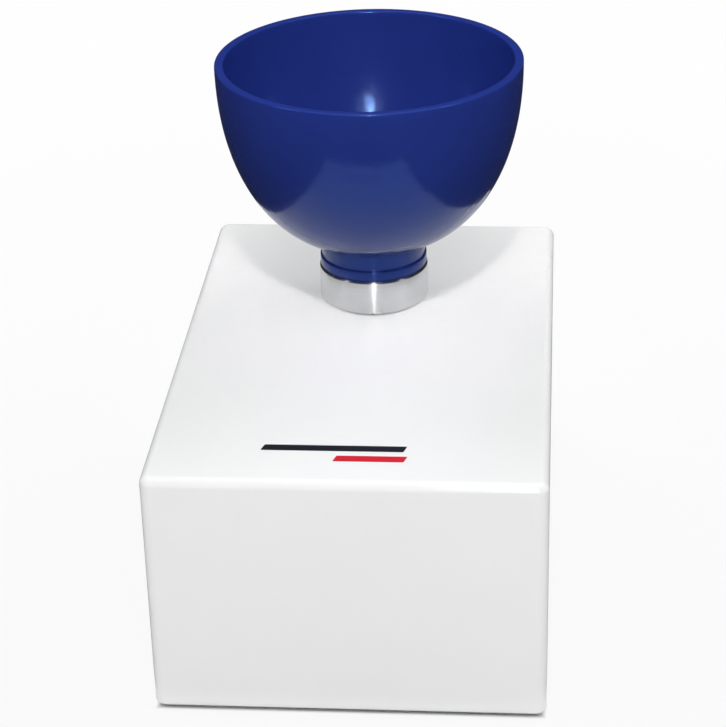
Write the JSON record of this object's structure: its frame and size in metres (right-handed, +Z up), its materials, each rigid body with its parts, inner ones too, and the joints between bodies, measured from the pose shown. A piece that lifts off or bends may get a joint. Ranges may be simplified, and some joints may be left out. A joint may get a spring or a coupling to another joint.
{
  "type": "dental impression mixer",
  "caption": "Motor-driven mixer for dental impression material: a rubber bowl stands in a chuck ring on a rounded box-shaped case.",
  "frame": {"origin": "on the table surface under the middle of the case", "axes": "+Z up along the spindle, -Y towards the user at the case's front, +X to the user's right"},
  "size_m": [0.1712, 0.2662, 0.233],
  "materials": {
    "white_case": "gloss moulded ABS",
    "tray_plastic": "fine textured ABS",
    "blue_rubber": "smooth moulded rubber",
    "black_rubber": "moulded rubber",
    "turned_aluminium": "turned and polished",
    "cast_aluminium": "fine cast",
    "plate_steel": "zinc plated",
    "motor_steel": "black painted steel",
    "ground_steel": "ground and polished",
    "screw_steel": "nickel plated",
    "laminated_steel": "varnished laminations",
    "ferrite": "sintered",
    "bronze": "sintered bronze",
    "copper": "enamelled copper",
    "carbon": "carbon",
    "black_plastic": "moulded nylon",
    "cage_nylon": "natural nylon",
    "tab_brass": "tinned brass",
    "board_laminate": "solder-masked glass epoxy",
    "block_green": "moulded polyamide",
    "lead_brown": "soft PVC",
    "lead_red": "soft PVC",
    "lead_grey": "soft PVC",
    "fuse_glass": "clear tube with plated caps"
  },
  "bodies": {
    "case": {"case_shell": "white_case", "base_plate": "plate_steel", "rubber_feet": "black_rubber", "foot_screws": "screw_steel", "base_screws": "screw_steel", "drive_frame": "plate_steel", "frame_pillars": "screw_steel", "pillar_screws": "screw_steel", "bearing_housing": "cast_aluminium", "housing_screws": "screw_steel", "housing_rings": "screw_steel", "shaft_seal": "black_rubber", "bearing_outer_races": "ground_steel", "motor_front_cap": "cast_aluminium", "motor_can": "motor_steel", "motor_rear_cap": "cast_aluminium", "motor_magnets": "ferrite", "motor_bushes": "bronze", "motor_brushes": "carbon", "brush_caps": "black_plastic", "motor_bolts": "screw_steel", "motor_screws": "screw_steel", "drive_belt": "black_rubber", "control_tray": "tray_plastic", "switch_housing": "black_plastic", "switch_tabs": "tab_brass", "speed_control": "screw_steel", "power_inlet": "black_plastic", "inlet_pins": "tab_brass", "inlet_screws": "screw_steel", "control_board": "board_laminate", "board_posts": "screw_steel", "board_screws": "screw_steel", "terminal_block": "block_green", "heat_sink": "cast_aluminium", "supply_leads": "lead_brown", "control_leads": "lead_grey", "motor_leads": "lead_red"},
    "spindle": {"spindle_shaft": "ground_steel", "spindle_rings": "screw_steel", "spindle_spacer": "screw_steel", "bearing_inner_races": "ground_steel", "driven_pulley": "cast_aluminium", "driven_pulley_screw": "screw_steel", "chuck_ring": "turned_aluminium", "chuck_screw": "screw_steel"},
    "bowl": {"mixing_bowl": "blue_rubber"},
    "motor_rotor": {"motor_shaft": "ground_steel", "armature_core": "laminated_steel", "armature_windings": "copper", "commutator": "copper", "motor_pulley": "cast_aluminium", "motor_pulley_screw": "screw_steel"},
    "ball_sets": {"bearing_balls": "ground_steel", "bearing_cages": "cage_nylon"},
    "rocker": {"power_rocker": "black_plastic"},
    "speed_knob": {"speed_knob": "black_plastic", "speed_control_shaft": "screw_steel"},
    "fuse_drawer": {"fuse_drawer": "black_plastic", "fuse": "fuse_glass"}
  },
  "joints": [
    {"name": "spindle_spin", "type": "hinge", "parent": "case", "child": "spindle", "pos_m": [0, 0.0502, 0.1], "axis": [0, 0, 1], "continuous": true},
    {"name": "bowl_lift", "type": "slide", "parent": "spindle", "child": "bowl", "axis": [0, 0, 1], "range_m": [0, 0.03]},
    {"name": "motor_spin", "type": "hinge", "parent": "case", "child": "motor_rotor", "pos_m": [0, -0.06, 0.06], "axis": [0, 0, 1], "continuous": true},
    {"name": "ball_orbit", "type": "hinge", "parent": "case", "child": "ball_sets", "pos_m": [0, 0.0502, 0.08], "axis": [0, 0, 1], "continuous": true},
    {"name": "rocker_tilt", "type": "hinge", "parent": "case", "child": "rocker", "pos_m": [-0.0732, -0.084, 0.066], "axis": [0, 1, 0], "range_deg": [0, 20]},
    {"name": "knob_turn", "type": "hinge", "parent": "case", "child": "speed_knob", "pos_m": [-0.0748, -0.044, 0.066], "axis": [1, 0, 0], "range_deg": [0, 280]},
    {"name": "fuse_drawer_slide", "type": "slide", "parent": "case", "child": "fuse_drawer", "axis": [0, 1, 0], "range_m": [0, 0.022]}
  ],
  "couplings": [
    {"joint": "motor_spin", "follows": "spindle_spin", "ratio": 4},
    {"joint": "ball_orbit", "follows": "spindle_spin", "ratio": 0.3816}
  ]
}
